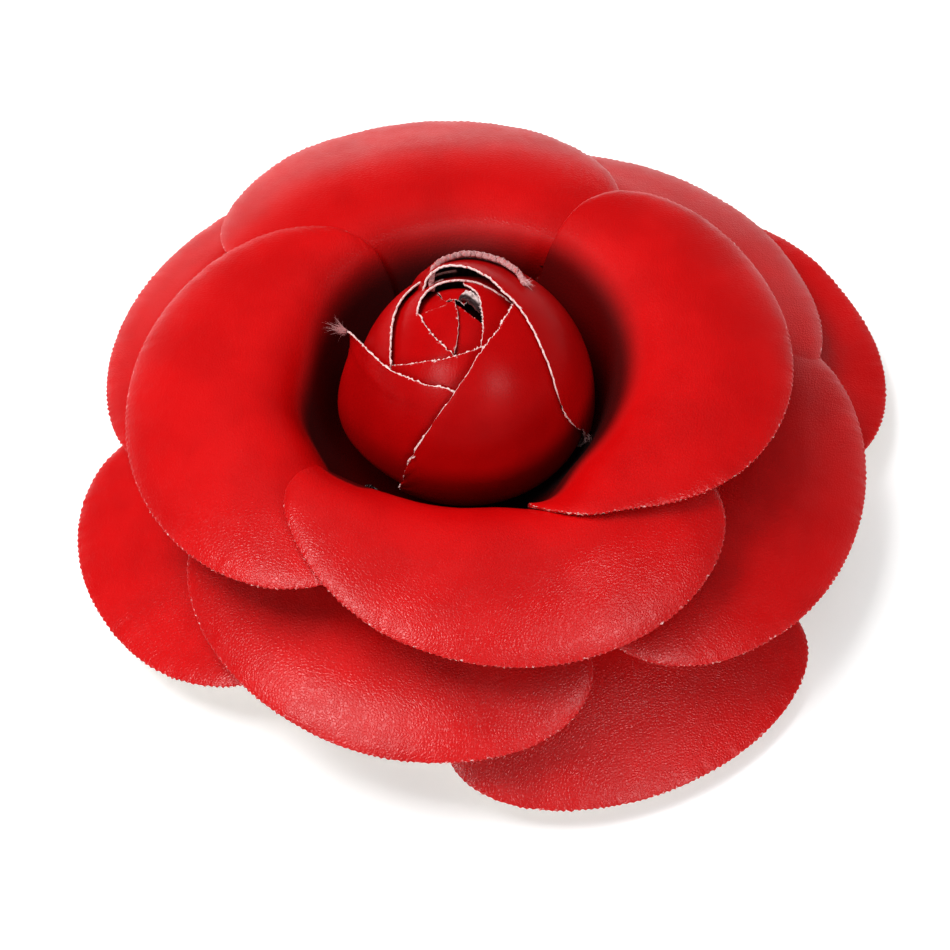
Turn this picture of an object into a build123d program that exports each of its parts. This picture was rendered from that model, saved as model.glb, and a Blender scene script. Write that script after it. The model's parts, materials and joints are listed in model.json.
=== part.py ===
from build123d import *
from math import atan2, cos, degrees, hypot, radians, sin
import os

# Flower hair clip: a camellia of lined leather petals on a round backing disc,
# with a sprung alligator clip glued under it. Millimetres, +Z up.
# The flower's axis is Z, and the clip's flat underside stands on Z = 0.
# The front of the flower looks towards -Y, and the clip lies along X.

# --- leather and how it is stacked ---
leather = 0.6  # thickness of one lined leather ply
ply_gap = 0.25  # room between one ply and the next
ply_pitch = leather + ply_gap

# --- backing disc ---
disc_radius = 20.0
disc_bottom = 9.4
disc_thickness = 1.0
disc_top = disc_bottom + disc_thickness

# --- bud, an egg on a stem ---
bud_radius = 16.4  # over the outermost wrap
bud_middle = 21.5  # height of its widest place
bud_rise = 19.5  # from there to the tip
bud_fall = 8.8  # from there down to the foot
wrap_pitch_across = 0.75  # each wrap in is this much smaller in radius
wrap_pitch_up = 0.45  # and this much lower at the tip
wrap_fill = 0.8  # share of that pitch that is leather
core_layer = 6  # the core is as large as this layer
stem_radius = 5.5
curl_radius = 2.2
curl_height = 2.2
curl_slit = 0.8

# --- clip, bent from spring steel ---
steel = 0.7
fixed_width = 8.0
moving_width = 6.2
fixed_tail_x = -22.0
tip_x = 26.0
plate_bottom = disc_bottom - steel
pin_x = -8.0
pin_z = 5.2
pin_radius = 0.8
pin_running_clearance = 0.05
pin_seat_clearance = 0.03
pin_head_radius = 1.3
pin_head_thickness = 0.5
fixed_ear_radius = 2.0
moving_ear_radius = 2.2
moving_tail_x = -24.0
ramp_x = 8.0  # where the lower jaw starts to curve up
ramp_run = 17.5
ramp_rise = 6.9
rail_height = 2.2  # top of the lower jaw's low side rails
tooth_height = 0.8
tooth_count = 3

# --- torsion spring on the pin ---
wire_radius = 0.3
coil_radius = 1.6  # to the middle of the wire
coil_turns = 4
coil_pitch = 0.7
leg_slope = 15.0  # degrees between each leg and the jaws
upper_leg = 5.8
lower_leg = 9.6

# --- strap that ties the fixed jaw to the disc ---
strap_start_x = 0.0
strap_length = 12.0
strap_reach = 9.0  # half its length across the clip
strap_thickness = 0.7

os.makedirs("parts", exist_ok=True)


def polar(radius, azimuth):
    return (radius * cos(radians(azimuth)), radius * sin(radians(azimuth)))


def shifted(points, distance):
    """Move a profile sideways, up and towards the axis, by one distance."""
    moved = []
    for index, (r, z) in enumerate(points):
        before = points[max(index - 1, 0)]
        after = points[min(index + 1, len(points) - 1)]
        run = after[0] - before[0]
        rise = after[1] - before[1]
        length = hypot(run, rise)
        moved.append((r - distance * rise / length, z + distance * run / length))
    return moved


def save(part, name):
    part.label = name
    export_step(part, f"parts/{name}.step")


# ---------------------------------------------------------------- petals
# Each ring of petals is one bowl, (radius, height) of its upper face from the
# glued root out to the curled rim. The roots lie flat on the disc, ring by ring.
ring_face = {
    "inner": [
        (9, 12), (11, 12), (12.8, 12.4), (15.7, 15), (18.4, 20), (19.8, 24),
        (22, 27.2), (25.5, 28.6), (31, 27.8), (38, 24.5), (48, 17),
    ],
    "middle": [
        (14.2, 11.2), (15.6, 11.2), (17.2, 11.7), (20, 13.6), (25, 17.2), (32, 18.3),
        (40, 16.5), (46, 13), (53, 8.2),
    ],
    "outer": [
        (17.5, 11.2), (19, 11.2), (21, 11.4), (25, 12.4), (31, 12.8), (38, 11.3),
        (46, 7.6), (53, 4), (60, 1.6),
    ],
}

# name, ring, plies above the ring's face, azimuth of the middle, half span,
# reach at the two sides, reach at the middle, squareness and lean of the outline.
# Azimuths are in degrees from +X, anticlockwise seen from above.
petals = [
    ("inner_petal_back", "inner", -1, 100, 51, 22.5, 45.5, 0.7, 0.05),
    ("inner_petal_left", "inner", 0, 177, 61, 17, 43, 0.8, 0.05),
    ("inner_petal_front", "inner", 1, 276, 60, 19, 41, 0.5, 0.06),
    ("inner_petal_right", "inner", 2, 5, 59, 18, 42, 0.6, 0.03),
    ("middle_petal_front", "middle", 0, 250, 44, 25, 47.5, 0.4, 0.04),
    ("middle_petal_right", "middle", 1, 338, 42, 27, 52, 0.4, 0.06),
    ("middle_petal_back_right", "middle", 0, 50, 44, 24, 52, 0.6, -0.02),
    ("middle_petal_back_left", "middle", 0, 150, 46, 24, 49.5, 0.6, 0),
    ("outer_petal_left", "outer", 0, 207, 33, 24, 52, 0.5, -0.05),
    ("outer_petal_front", "outer", 0, 299, 33, 25, 52.5, 0.25, 0.04),
    ("outer_petal_right", "outer", 0, 29, 37, 24, 59, 0.7, 0),
    ("outer_petal_back", "outer", 0, 118, 49, 24, 52, 0.5, 0),
]
rim_steps = 12
root_radius = 6.0
root_share = 0.7  # the root spans this share of the petal's width
flower_height = 45.0  # taller than any petal


def petal_outline(centre, half_span, side_reach, reach, squareness, lean):
    """Plan of the free edge, from one side of the petal round to the other."""
    edge = []
    for step in range(rim_steps + 1):
        turn = radians(180 * step / rim_steps)
        across = cos(turn)
        out = max(sin(turn), 0) ** squareness
        radius = (side_reach + (reach - side_reach) * out) * (1 + lean * across)
        edge.append(polar(radius, centre + half_span * across))
    return edge


for name, ring, plies, centre, half_span, side_reach, reach, squareness, lean in petals:
    face = shifted(ring_face[ring], plies * ply_pitch)
    back = shifted(ring_face[ring], plies * ply_pitch - leather)
    with BuildPart() as petal:
        with BuildSketch(Plane.XZ):
            with BuildLine():
                Spline(face)
                Spline(back)
                Line(face[0], back[0])
                Line(face[-1], back[-1])
            make_face()
        revolve(axis=Axis.Z)
        with BuildSketch(Plane.XY):
            with BuildLine():
                edge = petal_outline(centre, half_span, side_reach, reach, squareness, lean)
                root_start = polar(root_radius, centre + root_share * half_span)
                root_end = polar(root_radius, centre - root_share * half_span)
                Spline(edge)
                Polyline(edge[-1], root_end, root_start, edge[0])
            make_face()
        extrude(amount=flower_height, mode=Mode.INTERSECT)
    save(petal.part, name)


# ---------------------------------------------------------------- bud
def egg(layer, angle):
    """(radius, height) on the bud's layer, at an angle up from its middle."""
    height = bud_rise - wrap_pitch_up * layer if angle > 0 else bud_fall - wrap_pitch_up * layer
    across = bud_radius - wrap_pitch_across * layer
    return (across * cos(radians(angle)), bud_middle + height * sin(radians(angle)))


egg_angles = range(-60, 76, 15)

# name, layer inwards from the outermost, azimuth where it starts, span,
# then the sloping cut along its free edge: azimuth of the cut's high side,
# its height on the axis and its slope in degrees.
wraps = [
    ("bud_wrap_right", 0, -32, 157, 57, 23, 76.5),
    ("bud_wrap_front", 1, 243, 140, 336, 29.4, 66),
    ("bud_wrap_rear", 1, 28, 140, 90, 37.5, 8),
    ("bud_wrap_left", 2, 150, 130, 243, 28, 41),
    ("bud_mid_wrap_left", 3, 95, 115, 153, 33.4, 25),
    ("bud_mid_wrap_front", 3, 213, 100, 292, 35.2, 38),
    ("bud_inner_wrap_left", 4, 140, 118, 200, 37.8, 5),
    ("bud_inner_wrap_right", 4, 265, 160, 0, 27.7, 80),
    ("bud_inner_wrap_rear", 5, 20, 150, 90, 38, 5),
]

for name, layer, start, span, high_side, cut_height, cut_slope in wraps:
    outside = [egg(layer, angle) for angle in egg_angles]
    inside = [egg(layer + wrap_fill, angle) for angle in egg_angles]
    free_edge = Plane(
        origin=(0, 0, cut_height),
        z_dir=(
            -sin(radians(cut_slope)) * cos(radians(high_side)),
            -sin(radians(cut_slope)) * sin(radians(high_side)),
            cos(radians(cut_slope)),
        ),
    )
    start_plane = Plane(origin=(0, 0, 0), x_dir=(*polar(1, start), 0), z_dir=(*polar(1, start - 90), 0))
    with BuildPart() as wrap:
        with BuildSketch(start_plane):
            with BuildLine():
                Spline(outside)
                Spline(inside)
                Line(outside[0], inside[0])
                Line(outside[-1], inside[-1])
            make_face()
        revolve(axis=Axis.Z, revolution_arc=span)
        split(bisect_by=free_edge, keep=Keep.BOTTOM)
    save(wrap.part, name)

with BuildPart() as bud_core:
    with BuildSketch(Plane.XZ):
        with BuildLine():
            shell = [egg(core_layer, angle) for angle in egg_angles]
            tip = (0, bud_middle + bud_rise - wrap_pitch_up * core_layer)
            foot = (stem_radius, shell[0][1] - 0.5)
            Spline(shell + [(shell[-1][0] * 0.4, tip[1] - 0.25), tip])
            Polyline(shell[0], foot, (stem_radius, disc_top), (0, disc_top), tip)
        make_face()
    revolve(axis=Axis.Z)
save(bud_core.part, "bud_core")

# The rolled end of the innermost strip stands on the core's tip.
with BuildPart() as bud_centre:
    with BuildSketch(Plane.XY.offset(tip[1] + ply_gap)):
        Circle(curl_radius)
        Circle(curl_radius - leather, mode=Mode.SUBTRACT)
        with Locations((curl_radius, 0)):
            Rectangle(curl_radius, curl_slit, mode=Mode.SUBTRACT)
    extrude(amount=curl_height)
save(bud_centre.part, "bud_centre")

# ---------------------------------------------------------------- backing disc
with BuildPart() as backing_disc:
    with BuildSketch(Plane.XY.offset(disc_bottom)):
        Circle(disc_radius)
    extrude(amount=disc_thickness)
save(backing_disc.part, "backing_disc")

# ---------------------------------------------------------------- fixed jaw
# The clip's side view is drawn on the XZ plane and extruded both ways along Y.
plate_length = tip_x - fixed_tail_x
plate_middle = (tip_x + fixed_tail_x) / 2
plate_corner = 2.5
ear_gap = moving_width / 2 + 0.3  # inner face of the fixed ears, from the middle
fixed_lip_width = 3.0

with BuildPart() as upper_jaw:
    with BuildSketch(Plane.XZ):
        with BuildLine():
            ear_front = (pin_x + fixed_ear_radius, pin_z)
            ear_back = (pin_x - fixed_ear_radius, pin_z)
            ear_root = 1.5 * fixed_ear_radius
            ThreePointArc(ear_back, (pin_x, pin_z - fixed_ear_radius), ear_front)
            Polyline(
                ear_front,
                (pin_x + ear_root, plate_bottom + steel),
                (pin_x - ear_root, plate_bottom + steel),
                ear_back,
            )
        make_face()
    extrude(amount=fixed_width / 2, both=True)
    with BuildSketch(Plane.XZ):
        with Locations((pin_x, pin_z)):
            Rectangle(4 * fixed_ear_radius, 2 * (plate_bottom - pin_z))
    extrude(amount=ear_gap, both=True, mode=Mode.SUBTRACT)
    with BuildSketch(Plane.XZ):
        with Locations((pin_x, pin_z)):
            Circle(pin_radius + pin_seat_clearance)
    extrude(amount=fixed_width, both=True, mode=Mode.SUBTRACT)
    with BuildSketch(Plane.XY.offset(plate_bottom)):
        with Locations((plate_middle, 0)):
            RectangleRounded(plate_length, fixed_width, plate_corner)
    extrude(amount=steel)
    with BuildSketch(Plane.XY.offset(plate_bottom)):
        with Locations((tip_x - steel / 2, 0)):
            Rectangle(steel, fixed_lip_width)
    extrude(amount=-steel)
save(upper_jaw.part, "upper_jaw")

# ---------------------------------------------------------------- moving jaw
# A channel: flat floor, low rails, ears round the pin and a ramp up to the teeth.
ramp_angle = 2 * degrees(atan2(ramp_rise, ramp_run))
ramp_end = (ramp_x + ramp_run, ramp_rise)
ramp_end_inside = (
    ramp_end[0] - steel * sin(radians(ramp_angle)),
    ramp_end[1] + steel * cos(radians(ramp_angle)),
)
moving_ear_reach = 4.0  # where the ears run down into the rails
rail_end_x = pin_x - 6.5
moving_inside = moving_width / 2 - 0.6
jaw_mouth_height = 12.0  # taller than the jaw

with BuildPart() as lower_jaw:
    with BuildSketch(Plane.XZ):
        with BuildLine():
            ear_front = (pin_x + moving_ear_radius, pin_z)
            ear_back = (pin_x - moving_ear_radius, pin_z)
            Line((moving_tail_x, 0), (ramp_x, 0))
            TangentArc((ramp_x, 0), ramp_end, tangent=(1, 0))
            Line(ramp_end, ramp_end_inside)
            TangentArc((ramp_x, rail_height), ramp_end_inside, tangent=(1, 0))
            Polyline((ramp_x, rail_height), (pin_x + moving_ear_reach, rail_height), ear_front)
            ThreePointArc(ear_front, (pin_x, pin_z + moving_ear_radius), ear_back)
            Polyline(
                ear_back,
                (pin_x - moving_ear_reach, rail_height),
                (rail_end_x, steel),
                (moving_tail_x, steel),
                (moving_tail_x, 0),
            )
        make_face()
    extrude(amount=moving_width / 2, both=True)
    with BuildSketch(Plane.XZ):
        with BuildLine():
            Line((moving_tail_x, steel), (ramp_x, steel))
            TangentArc((ramp_x, steel), ramp_end_inside, tangent=(1, 0))
            Polyline(
                ramp_end_inside,
                (ramp_end_inside[0], jaw_mouth_height),
                (moving_tail_x, jaw_mouth_height),
                (moving_tail_x, steel),
            )
        make_face()
    extrude(amount=moving_inside, both=True, mode=Mode.SUBTRACT)
    with BuildSketch(Plane.XZ):
        with Locations((pin_x, pin_z)):
            Circle(pin_radius + pin_running_clearance)
    extrude(amount=moving_width, both=True, mode=Mode.SUBTRACT)
    with BuildSketch(Plane.YZ.offset(ramp_end_inside[0] - steel)):
        tooth_pitch = moving_width / tooth_count
        tooth_foot = ramp_end_inside[1] - steel
        for index in range(tooth_count):
            middle = (index - (tooth_count - 1) / 2) * tooth_pitch
            with BuildLine():
                Polyline(
                    (middle - tooth_pitch / 2, tooth_foot - steel / 2),
                    (middle - tooth_pitch / 2, tooth_foot),
                    (middle, tooth_foot + tooth_height),
                    (middle + tooth_pitch / 2, tooth_foot),
                    (middle + tooth_pitch / 2, tooth_foot - steel / 2),
                    close=True,
                )
            make_face()
    extrude(amount=steel)
save(lower_jaw.part, "lower_jaw")

# ---------------------------------------------------------------- hinge pin
with BuildPart() as hinge_pin:
    with BuildSketch(Plane.XZ):
        with Locations((pin_x, pin_z)):
            Circle(pin_radius)
    extrude(amount=fixed_width / 2 + pin_head_thickness, both=True)
    for outward in (1, -1):
        with BuildSketch(Plane.XZ.offset(outward * fixed_width / 2)):
            with Locations((pin_x, pin_z)):
                Circle(pin_head_radius)
        extrude(amount=outward * pin_head_thickness)
save(hinge_pin.part, "hinge_pin")

# ---------------------------------------------------------------- torsion spring
# One wire: lower leg, coil, upper leg. Each leg leaves the coil on its tangent
# and slopes out to its jaw.
coil_sweep = 360 * coil_turns + 2 * (90 - leg_slope)
coil_length = coil_pitch * coil_sweep / 360
along_pin = Axis((pin_x, 0, pin_z), (0, -1, 0))
coil = Helix(
    pitch=coil_pitch,
    height=coil_length,
    radius=coil_radius,
    center=(pin_x, coil_length / 2, pin_z),
    direction=(0, -1, 0),
).rotate(along_pin, leg_slope)

with BuildPart() as jaw_spring:
    with BuildLine() as wire:
        Line(coil @ 0 - lower_leg * (coil % 0), coil @ 0)
        add(coil)
        Line(coil @ 1, coil @ 1 + upper_leg * (coil % 1))
    with BuildSketch(Plane(origin=wire.line @ 0, z_dir=wire.line % 0)):
        Circle(wire_radius)
    sweep(path=wire.line, is_frenet=True)
save(jaw_spring.part, "jaw_spring")

# ---------------------------------------------------------------- strap over the fixed jaw
strap_top = plate_bottom
strap_drop_y = fixed_width / 2 + 0.2  # where it steps up from the jaw to the disc
with BuildPart() as jaw_strap:
    with BuildSketch(Plane.YZ.offset(strap_start_x)):
        with BuildLine():
            Polyline(
                (-strap_reach, disc_bottom),
                (-strap_drop_y, disc_bottom),
                (-strap_drop_y, strap_top),
                (strap_drop_y, strap_top),
                (strap_drop_y, disc_bottom),
                (strap_reach, disc_bottom),
                (strap_reach, disc_bottom - strap_thickness),
                (strap_drop_y + strap_thickness, disc_bottom - strap_thickness),
                (strap_drop_y + strap_thickness, strap_top - strap_thickness),
                (-strap_drop_y - strap_thickness, strap_top - strap_thickness),
                (-strap_drop_y - strap_thickness, disc_bottom - strap_thickness),
                (-strap_reach, disc_bottom - strap_thickness),
                close=True,
            )
        make_face()
    extrude(amount=strap_length)
save(jaw_strap.part, "jaw_strap")
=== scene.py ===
import json
import math

import bpy
import numpy as np
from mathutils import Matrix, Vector


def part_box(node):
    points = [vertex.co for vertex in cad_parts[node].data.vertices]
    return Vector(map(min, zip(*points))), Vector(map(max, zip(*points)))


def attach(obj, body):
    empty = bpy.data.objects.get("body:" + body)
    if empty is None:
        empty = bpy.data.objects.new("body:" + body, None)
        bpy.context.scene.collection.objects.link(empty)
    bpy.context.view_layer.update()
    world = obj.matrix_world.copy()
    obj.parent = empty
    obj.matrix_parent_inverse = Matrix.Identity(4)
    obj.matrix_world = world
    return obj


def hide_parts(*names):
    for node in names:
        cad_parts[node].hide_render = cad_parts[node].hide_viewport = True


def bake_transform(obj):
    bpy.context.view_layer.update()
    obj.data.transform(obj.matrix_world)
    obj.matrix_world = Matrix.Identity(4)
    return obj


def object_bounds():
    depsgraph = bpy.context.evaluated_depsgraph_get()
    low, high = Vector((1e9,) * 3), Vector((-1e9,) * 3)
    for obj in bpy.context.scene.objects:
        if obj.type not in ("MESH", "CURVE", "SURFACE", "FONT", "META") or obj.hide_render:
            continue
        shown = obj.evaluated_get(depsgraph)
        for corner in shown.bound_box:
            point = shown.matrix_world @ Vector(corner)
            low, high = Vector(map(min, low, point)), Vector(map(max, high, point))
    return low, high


# A camellia hair clip. The flower is built as thick leather sheets over the packed
# frame: curled petals on three bowls, and pointed wraps on an egg-shaped bud.
# Shapes are worked out in millimetres and turned into metres when a mesh is made.

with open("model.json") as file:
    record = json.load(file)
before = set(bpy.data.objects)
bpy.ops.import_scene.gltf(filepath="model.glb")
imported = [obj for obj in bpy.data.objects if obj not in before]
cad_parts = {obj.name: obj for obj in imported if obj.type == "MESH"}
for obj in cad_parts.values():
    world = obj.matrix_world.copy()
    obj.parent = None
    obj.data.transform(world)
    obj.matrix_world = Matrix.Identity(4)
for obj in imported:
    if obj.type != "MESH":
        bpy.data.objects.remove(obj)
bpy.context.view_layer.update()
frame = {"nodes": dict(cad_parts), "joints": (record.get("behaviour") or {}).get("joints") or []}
MM = 0.001

LEATHER = 0.6
PLY_PITCH = 0.85
SLOT_LEATHER = "petal_leather"


# ------------------------------------------------------------------ curves
def smooth_line(points, count):
    """Points evenly spaced on a Catmull-Rom curve through the given points."""
    p = np.array(points, float)
    p = np.vstack([2 * p[0] - p[1], p, 2 * p[-1] - p[-2]])
    pieces = []
    t = np.linspace(0, 1, 40, endpoint=False)[:, None]
    for a, b, c, d in zip(p, p[1:], p[2:], p[3:]):
        pieces.append(0.5 * (2 * b + (c - a) * t + (2 * a - 5 * b + 4 * c - d) * t**2
                             + (3 * b - a - 3 * c + d) * t**3))
    line = np.vstack([*pieces, p[-2][None]])
    run = np.concatenate([[0], np.cumsum(np.linalg.norm(np.diff(line, axis=0), axis=1))])
    at = np.linspace(0, run[-1], count)
    return np.stack([np.interp(at, run, line[:, k]) for k in range(line.shape[1])], 1)


def even_noise(seed, count, every):
    """Smooth random values in -1..1 along a line, one new value each `every` samples."""
    random = np.random.RandomState(seed)
    knots = random.uniform(-1, 1, int(count / every) + 3)
    at = np.arange(count) / every
    low = at.astype(int)
    t = at - low
    t = t * t * (3 - 2 * t)
    return knots[low] * (1 - t) + knots[low + 1] * t


def unit(v):
    return v / np.maximum(np.linalg.norm(v, axis=-1, keepdims=True), 1e-9)


def fade(x, low, high):
    """0 below low, 1 above high, smooth between."""
    t = np.clip((x - low) / (high - low), 0, 1)
    return t * t * (3 - 2 * t)


# ------------------------------------------------------------------ meshes
def new_mesh(name, verts, faces, materials, face_material=None, smooth=True):
    mesh = bpy.data.meshes.new(name)
    mesh.from_pydata((np.asarray(verts) * MM).tolist(), [], np.asarray(faces).tolist())
    for material in materials:
        mesh.materials.append(material)
    if face_material is not None:
        mesh.polygons.foreach_set("material_index", np.asarray(face_material, np.int32))
    mesh.polygons.foreach_set("use_smooth", np.full(len(mesh.polygons), smooth))
    mesh.update()
    piece = bpy.data.objects.new(name, mesh)
    bpy.context.scene.collection.objects.link(piece)
    return piece


def grid_faces(rows, columns, start=0, flip=False):
    i = np.arange(rows * columns).reshape(rows, columns) + start
    a, b, c, d = i[:-1, :-1], i[:-1, 1:], i[1:, 1:], i[1:, :-1]
    quads = np.stack([a, b, c, d] if not flip else [d, c, b, a], -1)
    return quads.reshape(-1, 4)


def grid_normals(top):
    across = np.gradient(top, axis=1)
    along = np.gradient(top, axis=0)
    return unit(np.cross(across, along))


BEAD_SHARES = (0.2, 0.5, 0.8)


def edge_loop(rows, columns):
    """Indices round a grid's border, and the indices just inside it."""
    i = np.arange(rows * columns).reshape(rows, columns)
    loop = np.concatenate([i[0, :-1], i[:-1, -1], i[-1, :0:-1], i[:0:-1, 0]])
    inner = i[np.clip(i // columns, 1, rows - 2), np.clip(i % columns, 1, columns - 2)]
    return loop, inner.reshape(-1)[loop]


def edge_bead(upper, lower, outward, seed, bulge, fray):
    """Rings of points that round off a sheet's cut edge, with lumps and loose grain."""
    random = np.random.RandomState(seed)
    lumps = even_noise(seed + 7, len(upper), 4)
    bead = []
    for share in BEAD_SHARES:
        place = upper * (1 - share) + lower * share
        knots = 0.4 * random.uniform(-1, 1, len(upper)) + lumps
        reach = np.maximum(bulge * math.sin(math.pi * share) + fray * knots, 0.03)
        bead.append(place + outward * reach[:, None])
    return bead


def add_values(piece, label, grid, loop):
    """Write a value for each grid point to the sheet's top, its underside and its bead."""
    values = grid.reshape(-1)
    layer = piece.data.attributes.new(label, "FLOAT", "POINT")
    bead = [values[loop]] * len(BEAD_SHARES)
    layer.data.foreach_set("value", np.concatenate([values, values, *bead]))


def thick_sheet(name, top, materials, seed, thickness=LEATHER, bulge=0.1, fray=0.05, face_up=True,
                rim=None, painted_shade=None):
    """A closed sheet under the grid of points `top`. Its cut edge is a rough bead.
    Materials are, in order, the face, the cut edge and the lining. The materials read rim, the
    distance from the cut edge, and painted_shade, how deep a point lies in the flower, which they
    paint as shade."""
    rows, columns = top.shape[:2]
    normal = grid_normals(top)
    if not face_up:
        normal = -normal
    bottom = top - normal * thickness
    count = rows * columns
    loop, inner = edge_loop(rows, columns)
    flat_top, flat_bottom = top.reshape(-1, 3), bottom.reshape(-1, 3)
    outward = unit(flat_top[loop] - flat_top[inner])
    bead = edge_bead(flat_top[loop], flat_bottom[loop], outward, seed, bulge, fray)
    verts = np.vstack([flat_top, flat_bottom, *bead])
    rings = [2 * count + k * len(loop) + np.arange(len(loop)) for k in range(len(bead))]
    rings = [loop, *rings, loop + count]
    faces = [grid_faces(rows, columns, 0, not face_up), grid_faces(rows, columns, count, face_up)]
    kinds = [np.zeros(len(faces[0])), np.full(len(faces[1]), 2)]
    for upper, lower in zip(rings, rings[1:]):
        quads = np.stack([upper, lower, np.roll(lower, -1), np.roll(upper, -1)], 1)
        faces.append(quads if face_up else quads[:, ::-1])
        kinds.append(np.ones(len(quads)))
    piece = new_mesh(name, verts, np.vstack(faces), materials, np.concatenate(kinds))
    for label, values in (("rim", rim), ("painted_shade", painted_shade)):
        values = np.zeros((rows, columns)) if values is None else values
        add_values(piece, label, np.broadcast_to(values, (rows, columns)), loop)
    return piece


# ------------------------------------------------------------------ materials
class Shader:
    """A Principled material, and short ways to add the nodes that vary it."""

    def __init__(self, name, **uniform):
        self.material = bpy.data.materials.new(name)
        self.material.use_nodes = True
        self.tree = self.material.node_tree
        self.surface = self.tree.nodes["Principled BSDF"]
        self.place = self.add("ShaderNodeTexCoord").outputs["Object"]
        for socket, value in uniform.items():
            self.surface.inputs[socket.replace("_", " ")].default_value = value

    def add(self, kind, **settings):
        node = self.tree.nodes.new(kind)
        for key, value in settings.items():
            setattr(node, key, value)
        return node

    def put(self, value, socket):
        if isinstance(value, bpy.types.NodeSocket):
            self.tree.links.new(value, socket)
        else:
            socket.default_value = value

    def noise(self, size_mm, detail=3.0, rough=0.55, stretch=(1, 1, 1)):
        scale = self.add("ShaderNodeVectorMath", operation="MULTIPLY")
        self.put(self.place, scale.inputs[0])
        scale.inputs[1].default_value = [k / (size_mm * MM) for k in stretch]
        node = self.add("ShaderNodeTexNoise")
        self.put(scale.outputs[0], node.inputs["Vector"])
        node.inputs["Scale"].default_value = 1.0
        node.inputs["Detail"].default_value = detail
        node.inputs["Roughness"].default_value = rough
        return node.outputs["Fac"]

    def cells(self, size_mm, feature="DISTANCE_TO_EDGE"):
        node = self.add("ShaderNodeTexVoronoi", feature=feature)
        self.put(self.place, node.inputs["Vector"])
        node.inputs["Scale"].default_value = 1 / (size_mm * MM)
        return node.outputs["Distance"]

    def ramp(self, value, low, high, out_low=0.0, out_high=1.0):
        node = self.add("ShaderNodeMapRange", interpolation_type="SMOOTHSTEP")
        self.put(value, node.inputs["Value"])
        for socket, number in zip(("From Min", "From Max", "To Min", "To Max"),
                                  (low, high, out_low, out_high)):
            node.inputs[socket].default_value = number
        return node.outputs["Result"]

    def math(self, operation, a, b):
        node = self.add("ShaderNodeMath", operation=operation)
        self.put(a, node.inputs[0])
        self.put(b, node.inputs[1])
        return node.outputs[0]

    def attribute(self, name):
        return self.add("ShaderNodeAttribute", attribute_name=name).outputs["Fac"]

    def mix(self, share, a, b):
        node = self.add("ShaderNodeMix", data_type="RGBA")
        factor, first, second = (node.inputs[k] for k in (0, 6, 7))    # the colour sockets
        self.put(share, factor)
        self.put(a if isinstance(a, bpy.types.NodeSocket) else (*a, 1), first)
        self.put(b if isinstance(b, bpy.types.NodeSocket) else (*b, 1), second)
        return node.outputs[2]

    def bump(self, height, depth_mm, strength=1.0, under=None):
        node = self.add("ShaderNodeBump")
        node.inputs["Distance"].default_value = depth_mm * MM
        node.inputs["Strength"].default_value = strength
        self.put(height, node.inputs["Height"])
        if under is not None:
            self.put(under, node.inputs["Normal"])
        return node.outputs["Normal"]

    def finish(self, colour, roughness, normal):
        self.put(colour, self.surface.inputs["Base Color"])
        self.put(roughness, self.surface.inputs["Roughness"])
        self.put(normal, self.surface.inputs["Normal"])
        return self.material


RED = (0.62, 0.0045, 0.0055)
DEEP_RED = (0.54, 0.0028, 0.0038)
# painted shade: the near-black red painted into the hollow round the bud
PAINTED_SHADE_RED = (0.07, 0.0001, 0.0002)
LINING = (0.80, 0.74, 0.66)
FRAY = (0.86, 0.66, 0.64)


def leather_face(name, red, deep, grain_depth, gloss):
    """Semi-matte leather: pebbled grain, fine creases and slow changes of tone. Shade is painted in,
    darker down in the hollow round the bud, and the leather is worn off in specks along the cut edge."""
    s = Shader(name, Specular_IOR_Level=gloss)
    tone = s.ramp(s.noise(9, 2), 0.35, 0.7)
    grain = s.ramp(s.cells(0.38), 0.0, 0.30)
    colour = s.mix(tone, red, deep)
    colour = s.mix(s.math("MULTIPLY", s.ramp(grain, 0, 0.8, 1, 0), 0.12), colour, DEEP_RED)
    worn = s.math("MULTIPLY", s.ramp(s.attribute("rim"), 0.0, 0.32, 1, 0),
                  s.ramp(s.noise(0.5, 4, 0.7), 0.58, 0.66))
    colour = s.mix(worn, colour, FRAY)
    # painted shade: near-black red down in the hollow round the bud, with a rougher surface there
    painted_shade = s.attribute("painted_shade")
    colour = s.mix(s.ramp(painted_shade, 0.08, 0.75, 0, 0.94), colour, PAINTED_SHADE_RED)
    roughness = s.math("ADD", s.ramp(s.noise(2.5, 4), 0.3, 0.75, 0.31, 0.39),
                       s.ramp(painted_shade, 0, 0.3, 0, 0.4))
    normal = s.bump(s.noise(0.3, 2), grain_depth / 2, 0.4)
    normal = s.bump(grain, grain_depth, 0.4, normal)
    return s.finish(colour, roughness, normal)


def cut_edge(name, cream, low, high):
    """The sheet's cut edge: red skin broken by pale fibres."""
    s = Shader(name, Specular_IOR_Level=0.2)
    fibre = s.ramp(s.noise(0.45, 4, 0.7), low, high)
    normal = s.bump(s.noise(0.12, 3), 0.05, 0.8)
    colour = s.mix(fibre, RED, cream)
    # painted shade: the cut edge turns near-black red down in the hollow round the bud
    colour = s.mix(s.ramp(s.attribute("painted_shade"), 0.08, 0.75, 0, 0.95), colour, PAINTED_SHADE_RED)
    return s.finish(colour, 0.85, normal)


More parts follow.
